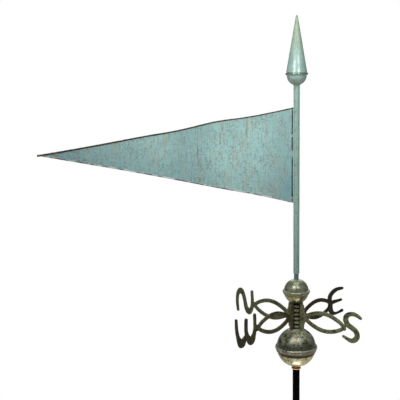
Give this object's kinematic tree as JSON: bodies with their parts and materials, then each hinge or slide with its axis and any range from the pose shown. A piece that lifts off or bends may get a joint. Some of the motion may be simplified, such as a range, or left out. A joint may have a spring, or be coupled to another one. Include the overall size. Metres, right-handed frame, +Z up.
{
  "type": "weathervane",
  "caption": "Copper weathervane: a long tapered pennant and a cone spire turning on a spindle, over a ball, four open arms with compass letters, a larger ball and a round mast.",
  "frame": {"origin": "middle of the flat foot of the mast, where it stands in or on its socket", "axes": "+Z up the mast, +Y along the north arm, +X along the east arm; at rest the pennant points 130 degrees from +X towards +Y"},
  "size_m": [0.654, 0.7425, 1.0909],
  "materials": {
    "black_steel": "gloss black paint",
    "bright_copper": "half-bright copper, browned at the edges",
    "aged_copper": "grey-green patina over brown copper, rubbed bright on the lower half",
    "cast_bronze": "dark olive brown casting with green dust in the hollows",
    "grey_steel": "dull grey-green rod",
    "verdigris_copper": "pale blue-green patina with upright brush streaks and dark brown edges"
  },
  "bodies": {
    "base": {"mast": "black_steel", "collar": "bright_copper", "lower_ball_bottom": "aged_copper", "lower_ball_top": "aged_copper", "compass_north_south": "cast_bronze", "compass_east_west": "cast_bronze", "upper_ball_bottom": "aged_copper", "upper_ball_top": "aged_copper", "spindle": "grey_steel"},
    "vane": {"vane_tube": "verdigris_copper", "pennant": "verdigris_copper", "spire_bowl": "verdigris_copper", "spire_cone": "verdigris_copper"}
  },
  "joints": [
    {"name": "vane_spin", "type": "hinge", "parent": "base", "child": "vane", "pos_m": [0, 0, 0.4162], "axis": [0, 0, 1], "continuous": true}
  ]
}
